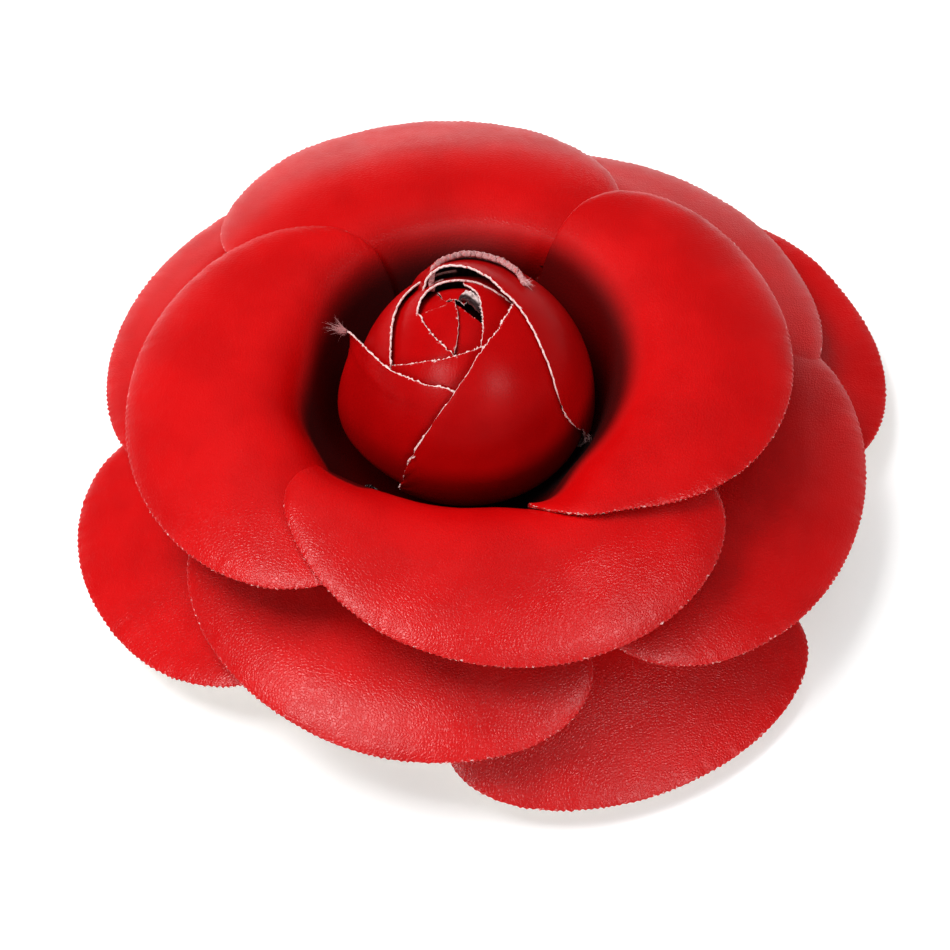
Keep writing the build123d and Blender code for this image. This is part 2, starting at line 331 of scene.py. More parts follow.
def woven_lining(name, tint):
    s = Shader(name, Specular_IOR_Level=0.15, Sheen_Weight=0.25, Sheen_Roughness=0.5)
    threads = []
    for direction in ("X", "Y"):
        wave = s.add("ShaderNodeTexWave", bands_direction=direction)
        s.put(s.place, wave.inputs["Vector"])
        wave.inputs["Scale"].default_value = 1 / (3.2 * MM)
        wave.inputs["Distortion"].default_value = 0.6
        threads.append(wave.outputs["Fac"])
    weave = s.math("MAXIMUM", threads[0], threads[1])
    colour = s.mix(s.ramp(weave, 0.3, 0.95), [0.76 * k for k in tint], tint)
    # painted shade: the lining turns near-black where it lies deep in the flower
    colour = s.mix(s.ramp(s.attribute("painted_shade"), 0, 0.7), colour, (0.03, 0.01, 0.01))
    normal = s.bump(weave, 0.08, 0.7)
    normal = s.bump(s.noise(0.2, 3), 0.03, 0.6, normal)
    return s.finish(colour, s.ramp(s.noise(1.5), 0.3, 0.7, 0.82, 0.95), normal)


def felt(name, colour, dark, sheen=0.5):
    s = Shader(name, Specular_IOR_Level=0.05, Sheen_Weight=sheen, Sheen_Roughness=0.6)
    fibres = s.noise(0.25, 5, 0.75, (1, 0.35, 1))
    clumps = s.noise(2.2, 3)
    shade = s.mix(s.ramp(fibres, 0.3, 0.7), dark, colour)
    shade = s.mix(s.math("MULTIPLY", s.ramp(clumps, 0.3, 0.7), 0.35), shade, dark)
    normal = s.bump(s.math("ADD", fibres, clumps), 0.12, 0.9)
    return s.finish(shade, s.ramp(clumps, 0.2, 0.8, 0.88, 1.0), normal)


def metal(name, tint, dark, roughness, brush):
    """Plated steel: fine lines from rolling, small stains and dulled patches."""
    s = Shader(name, Metallic=1.0)
    lines = s.noise(0.5, 3, 0.6, brush)
    stains = s.noise(3.5, 3)
    colour = s.mix(s.ramp(stains, 0.35, 0.75), tint, dark)
    rough = s.ramp(lines, 0.3, 0.7, roughness - 0.06, roughness + 0.08)
    return s.finish(colour, rough, s.bump(lines, 0.01, 0.35))


skin = leather_face("red_leather", RED, DEEP_RED, 0.05, 0.32)
wrap_skin = leather_face("bud_leather", (0.46, 0.003, 0.004), (0.38, 0.002, 0.003), 0.014, 0.09)
petal_edge = cut_edge("petal_cut_edge", LINING, 0.52, 0.62)
bud_edge = cut_edge("bud_frayed_edge", FRAY, 0.30, 0.46)
torn_edge = cut_edge("bud_torn_edge", (0.55, 0.30, 0.30), 0.22, 0.50)
fibres = cut_edge("loose_fibres", (0.80, 0.50, 0.50), 0.20, 0.36)
lining = woven_lining("cream_lining", LINING)
bud_lining = woven_lining("bud_lining", (0.78, 0.62, 0.60))
backing_felt = felt("backing_felt", (0.30, 0.008, 0.012), (0.16, 0.003, 0.005))
# painted shade: the padding is near-black with no sheen, standing in for the shade deep inside the bud
painted_shade_padding = felt("core_padding", (0.03, 0.001, 0.001), (0.012, 0.001, 0.001), 0)
nickel = metal("nickel_sheet", (0.72, 0.71, 0.69), (0.60, 0.58, 0.55), 0.28, (0.08, 1, 1))
pin_metal = metal("pin_steel", (0.66, 0.66, 0.67), (0.52, 0.52, 0.53), 0.25, (1, 0.1, 1))
wire_metal = metal("spring_wire", (0.55, 0.55, 0.57), (0.42, 0.42, 0.44), 0.3, (1, 1, 1))


def dress(piece, body, slot, *nodes):
    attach(piece, body)
    if nodes:
        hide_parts(*nodes)
    return piece


# ------------------------------------------------------------------ petals
BOWLS = {
    "inner": [
        (9, 12), (11, 12), (12.8, 12.4), (15.7, 15), (18.4, 20), (19.8, 24),
        (22, 27.2), (25.5, 28.6), (31, 27.8), (38, 24.5), (48, 17),
    ],
    "middle": [
        (14.2, 11.2), (15.6, 11.2), (17.2, 11.7), (20, 13.6), (25, 17.2), (32, 18.3),
        (40, 16.5), (46, 13), (53, 8.2), (58, 4.5),
    ],
    "outer": [
        (17.5, 11.2), (19, 11.2), (21, 11.4), (25, 12.4), (31, 12.8), (38, 11.3),
        (46, 7.6), (53, 4), (60, 1.6), (66, 0.6),
    ],
}

# Each petal: ring, plies up, azimuth of its middle, its two ends (clockwise, then
# anticlockwise), its reach at the middle, the lean of its outline and the lift of its
# rim. An end is (half span, reach there, squareness, how far its foot is cut back,
# how far its tip is raised).
PETALS = {
    "inner_petal_back": ("inner", -1, 100, (51, 22.4, 0.73, 0, 0), (51, 22.4, 0.73, 0, 0),
                         47.1, 0.055, 2.7),
    "inner_petal_left": ("inner", 0, 187, (69, 15.5, 1.0, 0, 0), (69, 15.5, 1.0, 0, -1.4),
                         43, 0.09, 2.2),
    "inner_petal_front": ("inner", 1, 276, (55, 20, 0.42, 0.24, 1.9), (57, 20, 0.42, 0, 0),
                          40.5, 0.11, -1.5),
    "inner_petal_right": ("inner", 2, 4.5, (73, 21.3, 2.1, 0, 0), (55, 17.5, 0.58, 0, 0.4),
                          41.2, 0.03, 2.6),
    "middle_petal_front": ("middle", 0, 250, (44.5, 24.8, 0.37, 0, 0), (44.5, 24.8, 0.37, 0, 0),
                           47.2, 0.04, -0.5),
    "middle_petal_right": ("middle", 1, 338, (42.5, 27, 0.42, 0, 0), (42.5, 27, 0.42, 0, 0),
                           50.9, 0.075, 0.1),
    "middle_petal_back_right": ("middle", 0, 47, (45, 23.5, 0.65, 0, 0), (45, 23.5, 0.65, 0, 0),
                                52.9, -0.025, 1.7),
    "middle_petal_back_left": ("middle", 0, 150, (47, 23.7, 0.54, 0, 0), (47, 23.7, 0.54, 0, 0),
                               48.9, -0.015, 1.2),
    "outer_petal_left": ("outer", 0, 207, (33, 24.3, 0.53, 0, 0), (33, 24.3, 0.53, 0, 0),
                         51.4, -0.055, 0.4),
    "outer_petal_front": ("outer", 0, 299, (33, 25, 0.2, 0, 0), (33, 25, 0.2, 0, 0),
                          52.9, 0.045, -0.8),
    "outer_petal_right": ("outer", 0, 29.5, (38, 23.4, 0.68, 0, 0), (38, 23.4, 0.68, 0, 0),
                          59, -0.015, 1.4),
    "outer_petal_back": ("outer", 0, 118, (50, 24, 0.5, 0, 0), (50, 24, 0.5, 0, 0),
                         52, 0, 1.0),
}
# The opening round the bud is pressed outwards at these azimuths: (azimuth, half
# width, depth).
PRESSED = [(222, 15, 1.7), (194, 16, 1.5), (298, 12, 2.3)]
# Shade is painted into the hollow round the bud from its lip down, and the painted lip is wider
# towards the back right.
SHADE_FOOT_RADIUS, SHADE_LIP_RADIUS, SHADE_LIP_SHIFT, SHADE_LIP_AZIMUTH = 17, 22.8, 2.4, 62
RIM_STEP = 0.2
TOOTH_PITCH = 0.8
# A petal's root spans this share of its width. Its rows are even up to BODY_END from the
# rim, and then at the distances RIM_ROWS from it.
ROOT_SHARE = 0.7
BODY_ROWS = 34
BODY_END = 3.0
RIM_ROWS = (2.2, 1.6, 1.15, 0.8, 0.5, 0.28, 0.12, 0.0)


def bowl(ring, plies):
    """Run, radius and height along the ring's bowl, moved up by whole plies."""
    line = smooth_line(BOWLS[ring], 500)
    heading = unit(np.gradient(line, axis=0))
    line = line + np.stack([-heading[:, 1], heading[:, 0]], 1) * plies * PLY_PITCH
    run = np.concatenate([[0], np.cumsum(np.linalg.norm(np.diff(line, axis=0), axis=1))])
    return run, line[:, 0], line[:, 1]


def petal_outline(clockwise, anticlockwise, reach, lean):
    """Azimuth from the petal's middle and radius, evenly spaced round the free edge."""
    turn = np.linspace(0, math.pi, 4000)
    across = np.cos(turn)
    half, side, square, _, _ = (np.where(across > 0, a, c) for a, c in zip(anticlockwise, clockwise))
    azimuth = half * across
    radius = (side + (reach - side) * np.sin(turn).clip(0) ** square) * (1 + lean * across)
    x, y = radius * np.cos(np.radians(azimuth)), radius * np.sin(np.radians(azimuth))
    run = np.concatenate([[0], np.cumsum(np.hypot(np.diff(x), np.diff(y)))])
    at = np.linspace(0, run[-1], int(run[-1] / RIM_STEP))
    return np.interp(at, run, azimuth), np.interp(at, run, radius), at


def rim_ripple(seed, count, from_rim):
    """Height added near the cut rim: it turns down a little and puckers."""
    pucker = 0.6 * even_noise(seed + 1, count, 5) + 0.4 * even_noise(seed + 2, count, 9)
    return 0.11 * pucker[None] * np.exp(-from_rim / 1.5) - 0.45 * np.exp(-from_rim / 1.1)


def rim_teeth(seed, at, from_rim):
    """Radius added right at the cut rim by the small uneven teeth of the cutter."""
    phase = at / TOOTH_PITCH + 0.35 * even_noise(seed + 3, len(at), 12)
    teeth = np.abs(2 * (phase % 1) - 1) - 0.5
    teeth = teeth * (0.17 + 0.10 * even_noise(seed + 4, len(at), 8))
    return teeth[None] * np.exp(-from_rim / 0.25)


def angle_between(a, b):
    return (a - b + 180) % 360 - 180


def hollow_painted_shade(r, azimuth):
    """How much painted shade a point gets: 0 at the lip of the hollow round the bud and outside it, 1
    at its foot.
    """
    lip = SHADE_LIP_RADIUS + SHADE_LIP_SHIFT * np.cos(np.radians(azimuth - SHADE_LIP_AZIMUTH))
    return 1 - fade((r - SHADE_FOOT_RADIUS) / (lip - SHADE_FOOT_RADIUS), 0, 1)


def petal_sheet(seed, ring, plies, centre, clockwise, anticlockwise, reach, lean, lift):
    azimuth, radius, at = petal_outline(clockwise, anticlockwise, reach, lean)
    count = len(at)
    run, bowl_r, bowl_z = bowl(ring, plies)
    full = np.interp(radius, bowl_r, run)
    body = (full - BODY_END)[None] * np.linspace(0, 1, BODY_ROWS)[:, None]
    rim = full[None] - np.array(RIM_ROWS)[:, None]
    along = np.vstack([body, rim])
    from_rim = full[None] - along
    across = np.cos(np.linspace(0, math.pi, count))
    half, _, _, cut, rise = (np.where(across > 0, a, c) for a, c in zip(anticlockwise, clockwise))
    root = half * ROOT_SHARE * across
    share = 1 - (1 - along / full[None]) ** 2
    psi = root[None] * (1 - share) + azimuth[None] * share
    r = np.interp(along, run, bowl_r)
    z = np.interp(along, run, bowl_z)
    psi = psi * (1 - cut * (psi / half) ** 4 * (1 - fade(r, 18.5, 22.5)))
    turn = np.radians(centre + psi)
    out = np.clip((r - 22) / 20, 0, 2)
    z = z + lift * out * np.exp(-((psi / 60) ** 2))
    z = z + rise * fade(np.abs(psi) / half, 0.35, 1.0) * fade(r, 19, 26)
    z = z + 0.35 * out * even_noise(seed, count, 60)[None]
    z = z + rim_ripple(seed, count, from_rim)
    # painted shade on the inner petals: darker down in the hollow round the bud, and at the corner of
    # a cut-back end beside the bud
    painted_shade = 0 * r
    if ring == "inner":
        painted_shade = hollow_painted_shade(r, centre + psi)
        corner = (cut > 0) * fade(np.abs(psi) / half, 0.66, 0.76) * (1 - fade(r, 21.2, 22.6))
        painted_shade = np.maximum(painted_shade, corner)
        for middle, width, depth in PRESSED:
            apart = angle_between(centre + psi, middle)
            r = r + depth * np.exp(-((apart / width) ** 2)) * fade(r, 14, 19) * (1 - fade(r, 26, 36))
    r = r + rim_teeth(seed, at, from_rim)
    return np.stack([r * np.cos(turn), r * np.sin(turn), z], -1), from_rim, painted_shade


for seed, (name, shape) in enumerate(PETALS.items()):
    sheet, rim, painted_shade = petal_sheet(100 + 10 * seed, *shape)
    petal = thick_sheet(name + "_leather", sheet, [skin, petal_edge, lining], seed,
                        rim=rim, painted_shade=painted_shade)
    dress(petal, "flower", SLOT_LEATHER, name)


# ------------------------------------------------------------------ bud
BUD_RADIUS, BUD_MIDDLE, BUD_RISE, BUD_FALL = 16.4, 21.5, 19.5, 8.8
LAYER_ACROSS, LAYER_UP = 0.75, 0.45
WRAP_THICKNESS = 0.3
FOOT_LATITUDE = -50

# Each wrap is a patch on the egg, given by its free edges as points of
# (azimuth, latitude, lift): along its top, then down its left and right sides.
WRAPS = {
    "bud_wrap_rear": (-0.6, [
        (36, 57, 0.2), (46, 56, 0.6), (59, 55, 0.8), (75, 54, 0.8), (90, 54, 0.8),
        (104, 56, 0.6), (114, 57.5, 0.3), (122, 59, -0.5), (130, 59.5, -2.5),
    ], [(38, 50, -0.6), (46, 35, -1.3), (62, 10, -1.3), (64, FOOT_LATITUDE, -1)],
        [(126, 45, -3.1), (120, 20, -2.7), (114, FOOT_LATITUDE, -1.5)]),
    "bud_wrap_right": (0, [
        (325, 30, 0.15), (328, 38, 0.2), (333, 46, 0.2), (340, 54, 0.2), (351, 61, 0.2),
        (362, 65, 0.2), (376, 69, 0.2), (392, 71, 0.2), (412, 71, 0.3), (435, 69.5, 0.5),
        (456, 66, 0.6), (470, 62, 0.4), (483, 60, -0.1), (491, 58.5, -1.2), (498, 57, -2.6),
    ], [(326, 23, 0.1), (330, 13, 0.1), (336, 2, 0.1), (342, FOOT_LATITUDE, 0)],
        [(494, 45, -3.0), (488, 20, -2.6), (482, FOOT_LATITUDE, -1.5)]),
    "bud_wrap_front": (1, [
        (246, 24, 0.1), (250, 33, 0.1), (255, 42, 0.12), (262, 50, 0.15), (268, 56, 0.15),
        (280, 64, 0.15), (292, 68, 0.15), (309, 71, 0.15), (343, 72, 0.1), (371, 68, 0),
        (388, 62, 0),
    ], [(242, 14, 0.1), (240, 4, 0.1), (238, -8, 0.1), (234, FOOT_LATITUDE, 0)],
        [(384, 20, 0), (380, FOOT_LATITUDE, 0)]),
    "bud_wrap_left": (2, [
        (158, 15.5, 1.2), (160.5, 18.5, 0.9), (165, 23, 0.5), (172, 29, 0.25), (181, 35, 0.12),
        (196, 41, 0.1), (208, 44, 0.1), (220, 47, 0.1), (231, 49, 0.1), (243, 50, 0.1),
        (254, 51, 0.05), (264, 49, 0), (276, 44, 0),
    ], [(156, 10, 0.8), (158, 0, 0.2), (150, FOOT_LATITUDE, 0)],
        [(276, 10, 0), (272, FOOT_LATITUDE, 0)]),
    "bud_mid_wrap_left": (3, [
        (98, 52, 0.4), (122, 50, 0.4), (145, 49, 0.3), (167, 50, 0.2), (187, 49, 0.15),
        (197, 46.5, 0.1), (205, 43.5, 0.05), (216, 37, 0),
    ], [(96, 20, 0), (95, -20, 0)], [(220, 20, 0), (222, -20, 0)]),
    "bud_mid_wrap_front": (3.5, [
        (198, 38, 0), (206, 45, 0.1), (216, 51, 0.2), (227, 57, 0.2), (236, 60, 0.2),
        (250, 64, 0.2), (266, 67, 0.2), (287, 69, 0.1), (302, 69, 0),
    ], [(196, 10, 0), (196, -20, 0)], [(304, 30, 0), (306, -20, 0)]),
    "bud_inner_wrap_left": (4.2, [
        (112, 57, 0.6), (128, 57, 0.5), (145, 58, 0.3), (160, 61, 0.15), (176, 65.5, 0.12),
        (198, 68.5, 0.1), (222, 69, 0.1), (240, 68, 0.1), (254, 66, 0.05), (268, 62, 0),
    ], [(110, 30, 0), (110, 0, 0)], [(270, 30, 0), (272, 0, 0)]),
    "bud_inner_wrap_right": (4.2, [
        (278, 58, 0), (290, 67, 0.1), (304, 74, 0.15), (328, 79, 0.15), (355, 81, 0.2),
        (385, 81, 0.3), (411, 78, 0.4), (437, 72, 0.4), (452, 66, 0.2),
    ], [(276, 30, 0), (275, 0, 0)], [(454, 30, 0), (455, 0, 0)]),
    "bud_inner_wrap_rear": (4.6, [
        (24, 60, 0.3), (34, 63.5, 0.6), (50, 66, 0.7), (70, 66, 0.8), (89, 64, 0.8),
        (106, 61.5, 0.8), (122, 60, 0.8), (142, 60.5, 0.7), (160, 62, 0.5), (174, 63, 0.3),
    ], [(22, 40, 0), (20, 0, 0)], [(180, 40, 0), (182, 0, 0)]),
}
# The tightly rolled heart, seen in the opening at the tip. These patches are given in
# plan, as points of (x, y, lift).
HEART = {
    "bud_heart_left": (5, [
        (-6.4, 1.4, 0), (-5.0, 1.5, 0.1), (-3.8, 1.6, 0.1), (-2.6, 1.9, 0.15), (-1.4, 2.6, 0.2),
    ], [(-6.2, -1.5, 0), (-4.5, -5.5, 0)], [
        (-1.1, 1.0, 0.25), (-0.95, -0.6, 0.2), (-1.0, -2.6, 0.15), (-1.4, -4.6, 0.1), (-2.2, -6.4, 0),
    ]),
    "bud_heart_right": (5.9, [
        (-1.9, 2.5, 0), (-0.7, 1.6, 0.15), (0.4, 0.4, 0.2), (1.6, -0.6, 0.2), (2.8, -1.4, 0.1),
    ], [(-2.0, -2, 0), (-2.6, -6.4, 0)], [(3.0, -4, 0), (2.8, -6.4, 0)]),
    "bud_heart_rear": (5.7, [
        (-3.9, 8.2, 0), (-3.6, 5.6, 0.1), (-3.1, 3.9, 0.15), (-2.5, 2.9, 0.15), (-1.6, 2.4, 0.05),
    ], [(-5.4, 6.6, 0), (-7.2, 4.4, 0)], [(-3.2, 1.0, 0), (-6.8, 0.4, 0)]),
    "bud_heart_fold": (5.9, [
        (-2.7, 2.9, 0), (-2.1, 3.1, 0.15), (-1.3, 3.0, 0.25), (-0.7, 2.6, 0.2), (-0.2, 2.1, 0),
    ], [(-3.2, 4.6, 0.55), (-3.8, 6.8, 0)], [(0.6, 4.0, 0.5), (0.6, 6.2, 0)]),
}
CURL = (4.9, [
    (-0.9, 2.7, 0.1), (0.0, 2.1, 0.6), (0.8, 1.1, 0.7), (1.9, 0.2, 0.2),
], [(-0.3, 4.0, 0.3), (0.5, 4.6, 0.1)], [(2.2, 1.6, 0.2), (1.9, 2.9, 0.1)])
BULGE_AZIMUTH, BULGE_LATITUDE, BULGE = 186, 0, 1.7
# How much more ragged than the others a wrap's top edge is, and how thick a torn rim is.
RAGGED = {"bud_wrap_rear": 3.0, "bud_wrap_right": 1.4}
TORN_EDGE = {"bud_wrap_rear": 0.75}


def egg(layer, azimuth, latitude, lift):
    """Points on one layer of the bud, stood off its surface by lift."""
    a = BUD_RADIUS - LAYER_ACROSS * layer
    rise = np.where(latitude > 0, BUD_RISE, BUD_FALL) - LAYER_UP * layer
    turn, up = np.radians(azimuth), np.radians(latitude)
    flat = np.stack([np.cos(turn), np.sin(turn)], -1)
    place = np.concatenate([flat * (a * np.cos(up))[..., None],
                            (BUD_MIDDLE + rise * np.sin(up))[..., None]], -1)
    normal = np.concatenate([flat * (np.cos(up) / a)[..., None],
                             (np.sin(up) / rise)[..., None]], -1)
    return place + unit(normal) * lift[..., None]


def patch(top, left, right, rows, columns):
    """A grid between four edges (a Coons patch); the foot is a straight line."""
    t = smooth_line(top, columns)
    l = smooth_line([top[0], *left], rows)
    r = smooth_line([top[-1], *right], rows)
    u = np.linspace(0, 1, columns)[None, :, None]
    v = np.linspace(0, 1, rows)[:, None, None]
    foot = l[-1] * (1 - u) + r[-1] * u
    corners = (t[0] * (1 - u) + t[-1] * u) * (1 - v) + (l[-1] * (1 - u) + r[-1] * u) * v
    return t[None] * (1 - v) + foot * v + l[:, None] * (1 - u) + r[:, None] * u - corners


def wrap_sheet(seed, ragged, bulge, layer, top, left, right, rows=110, columns=300):
    grid = patch(top, left, right, rows, columns)
    azimuth, latitude, lift = grid[..., 0], grid[..., 1], grid[..., 2]
    # the free edges were cut unevenly and are creased
    flat = egg(layer, azimuth, latitude, lift)
    from_top = np.linalg.norm(flat - flat[:1], axis=-1)
    from_left = np.linalg.norm(flat - flat[:, :1], axis=-1)
    uneven = 0.6 * even_noise(seed, columns, 3) + 0.4 * even_noise(seed + 1, columns, 9)
    latitude = latitude + 0.45 * ragged * uneven[None] * np.exp(-from_top / 0.5)
    side = 0.6 * even_noise(seed + 2, rows, 2) + 0.4 * even_noise(seed + 3, rows, 6)
    azimuth = azimuth + 0.6 * side[:, None] * np.exp(-from_left / 0.6)
    crease = 0.10 * even_noise(seed + 4, rows, 3)[:, None] * np.exp(-from_left / 1.6)
    ripple = 0.012 * ragged * even_noise(seed + 5, columns, 7)[None] * np.exp(-from_top / 1.2)
    aside, above = (azimuth - BULGE_AZIMUTH) / 32, (latitude - BULGE_LATITUDE) / 26
    full = bulge * np.exp(-(aside ** 2) - above ** 2)
    rim = np.minimum(from_top, from_left)
    # painted shade: the wraps darken slightly towards the bud's foot
    painted_shade = 0.15 * (1 - fade(latitude, -50, -5))
    return egg(layer, azimuth, latitude, lift + crease + ripple + full), rim, painted_shade


def heart_sheet(seed, layer, top, left, right, rows=60, columns=90):
    grid = patch(top, left, right, rows, columns)
    x, y, lift = grid[..., 0], grid[..., 1], grid[..., 2]
    from_top = np.linalg.norm(grid - grid[:1], axis=-1)
    from_side = np.linalg.norm(grid - grid[:, -1:], axis=-1)
    rim = np.minimum(from_top, from_side)
    a, b = BUD_RADIUS - LAYER_ACROSS * layer, BUD_RISE - LAYER_UP * layer
    y = y + 0.09 * even_noise(seed, columns, 3)[None] * np.exp(-from_top / 0.3)
    x = x + 0.09 * even_noise(seed + 1, rows, 3)[:, None] * np.exp(-from_side / 0.3)
    height = BUD_MIDDLE + b * np.sqrt(1 - (x**2 + y**2) / a**2) + lift
    return np.stack([x, y, height], -1), rim


def tuft(name, root, heading, length, count, seed):
    """A few loose fibres standing out of a torn corner, each a thin bent spike."""
    random = np.random.RandomState(seed)
    t = np.linspace(0, 1, 7)[:, None]
    verts, faces = [], []
    for _ in range(count):
        start = root + random.normal(0, 0.2, 3)
        aim = unit(unit(np.array(heading, float)) + random.normal(0, 0.3, 3))
        bend = random.normal(0, 0.35, 3)
        reach = length * random.uniform(0.4, 1)
        line = start + reach * (t * aim + t**2 * bend)
        width = 0.035 * (1 - 0.8 * t)
        side = unit(np.cross(aim, [0.3, 0.2, 1.0]))
        other = np.cross(aim, side)
        corners = [line + width * (math.cos(a) * side + math.sin(a) * other) for a in (0, 2.1, 4.2)]
        ring = np.stack(corners, 1).reshape(-1, 3)
        first = len(verts) * len(ring)
        verts.append(ring)
        for k in range(len(t) - 1):
            for m in range(3):
                a, b = first + 3 * k + m, first + 3 * k + (m + 1) % 3
                faces.append((a, b, b + 3, a + 3))
        faces += [(first + 2, first + 1, first), (first + 18, first + 19, first + 20)]
    mesh = bpy.data.meshes.new(name)
    mesh.from_pydata((np.vstack(verts) * MM).tolist(), [], faces)
    mesh.materials.append(fibres)
    piece = bpy.data.objects.new(name, mesh)
    bpy.context.scene.collection.objects.link(piece)
    return dress(piece, "flower", SLOT_LEATHER)


def faces_up(sheet):
    return grid_normals(sheet)[..., 2].mean() > 0


wrap_faces = [wrap_skin, bud_edge, bud_lining]
torn_faces = [wrap_skin, torn_edge, bud_lining]
for seed, (name, shape) in enumerate(WRAPS.items()):
    bulge = BULGE if name == "bud_wrap_left" else 0
    sheet, rim, painted_shade = wrap_sheet(400 + 10 * seed, RAGGED.get(name, 1), bulge, *shape)
    torn = name in TORN_EDGE
    wrap = thick_sheet(name + "_leather", sheet, torn_faces if torn else wrap_faces, 60 + seed,
                       TORN_EDGE.get(name, WRAP_THICKNESS), 0.11, 0.14,
                       face_up=False, rim=rim, painted_shade=painted_shade)
    dress(wrap, "flower", SLOT_LEATHER, name)
for seed, (name, shape) in enumerate(HEART.items()):
    sheet, rim = heart_sheet(500 + 10 * seed, *shape)
    roll = thick_sheet(name + "_leather", sheet, wrap_faces, 80 + seed, WRAP_THICKNESS, 0.04, 0.06,
                       face_up=faces_up(sheet), rim=rim)
    dress(roll, "flower", SLOT_LEATHER)

# Each tuft: layer and (azimuth, latitude, lift) of its root, heading, length, fibre count.
TUFTS = {
    "bud_fray_left": (2, (158, 15.5, 2.2), (-1, 0.3, 0.3), 1.9, 80),
    "bud_fray_rear": (0, (37, 57, 0.4), (0.9, -0.3, -0.4), 0.9, 60),
    "bud_fray_right": (0, (336, 2, 0.2), (0.7, -0.8, -0.4), 0.6, 24),
}
for name, (layer, corner, heading, length, count) in TUFTS.items():
    azimuth, latitude, lift = (np.array([k], float) for k in corner)
    tuft(name, egg(layer, azimuth, latitude, lift)[0], heading, length, count, count)

curl_sheet, _ = heart_sheet(560, *CURL, 40, 60)
crumple = even_noise(561, 60, 5)[None] * even_noise(562, 40, 6)[:, None]
curl_sheet[..., 2] += 0.25 * crumple
# painted shade: the curl darkens towards its free edge, over the deep opening at the tip
curl_shade = 1 - fade(np.linspace(0, 1, 40), 0.1, 0.6)[:, None]
curl = thick_sheet("bud_centre_curl", curl_sheet, [bud_lining, bud_edge, wrap_skin], 95, 0.25, 0.04,
                   face_up=faces_up(curl_sheet), painted_shade=curl_shade)
dress(curl, "flower", SLOT_LEATHER, "bud_centre")


def revolved(name, outline, material, columns=96, uneven=0.0, seed=0):
    """A closed solid turned about the flower's axis from an outline of (radius, height)."""
    outline = np.array(outline, float)
    turn = np.linspace(0, 2 * math.pi, columns, endpoint=False)
    rough = 1 + uneven * even_noise(seed, columns, 2)
    ring = np.stack([np.cos(turn) * rough, np.sin(turn) * rough], -1)
    verts = np.concatenate([
        np.concatenate([ring * r, np.full((columns, 1), z)], 1) for r, z in outline
    ])
    i = np.arange(len(outline) * columns).reshape(len(outline), columns)
    following = np.roll(i, -1, axis=1)
    quads = np.stack([i[:-1], following[:-1], following[1:], i[1:]], -1).reshape(-1, 4)
    faces = quads.tolist() + [i[0, ::-1].tolist(), i[-1].tolist()]
    mesh = bpy.data.meshes.new(name)
    mesh.from_pydata((verts * MM).tolist(), [], faces)
    mesh.materials.append(material)
    mesh.polygons.foreach_set("use_smooth", [True] * len(faces))
    piece = bpy.data.objects.new(name, mesh)
    bpy.context.scene.collection.objects.link(piece)
    return piece


CORE_LAYER = 8.2
core_line = [(0.3, 10.4), (5.4, 10.4), (5.5, 12.8)]
for latitude in range(-50, 90, 6):
    point = egg(CORE_LAYER, np.array([0.0]), np.array([float(latitude)]), np.array([0.0]))[0]
    core_line.append((point[0], point[2]))
core = revolved("bud_core_padding", core_line, painted_shade_padding)
dress(core, "flower", "core_foam", "bud_core")


# ------------------------------------------------------------------ backing and clip
low, high = (np.array(c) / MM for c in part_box("backing_disc"))
disc_radius = (high[0] - low[0]) / 2
rounding = 0.25
disc_line = [(0.3, low[2]), (disc_radius - rounding, low[2]), (disc_radius, low[2] + rounding),
             (disc_radius, high[2] - rounding), (disc_radius - rounding, high[2]), (0.3, high[2])]
disc = revolved("backing_disc_felt", disc_line, backing_felt, 220, 0.004, 700)
dress(disc, "flower", "backing_felt", "backing_disc")

for node in ("upper_jaw", "lower_jaw"):
    frame["nodes"][node].data.materials.clear()
    frame["nodes"][node].data.materials.append(nickel)
frame["nodes"]["hinge_pin"].data.materials.clear()
frame["nodes"]["hinge_pin"].data.materials.append(pin_metal)


def strap_sheet():
    """A strip laid over the fixed jaw and glued down on both sides of it."""
    low, high = (np.array(c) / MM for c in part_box("jaw_strap"))
    reach = high[1]
    jaw_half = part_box("upper_jaw")[1][1] / MM
    top, bottom = high[2], low[2] + LEATHER
    y = np.linspace(-reach, reach, 120)[:, None]
    x = np.linspace(low[0], high[0], 60)[None]
    dip = fade(np.abs(y), jaw_half - 0.2, jaw_half + 1.2)
    z = bottom * (1 - dip) + (top - 0.02) * dip - 0.06 * np.cos(4 * x) * dip * (1 - dip)
    corner = 1.2 * (1 - np.sqrt(np.clip(1 - ((x - x.mean()) / (high[0] - x.mean())) ** 4, 0, 1)))
    y = y - np.sign(y) * corner * fade(np.abs(y), reach - 3, reach)
    return np.stack([x + 0 * y, y, z + 0 * y], -1)


strap = thick_sheet("jaw_strap_leather", strap_sheet(), [lining, petal_edge, skin], 710, face_up=False)
dress(strap, "flower", "strap_leather", "jaw_strap")


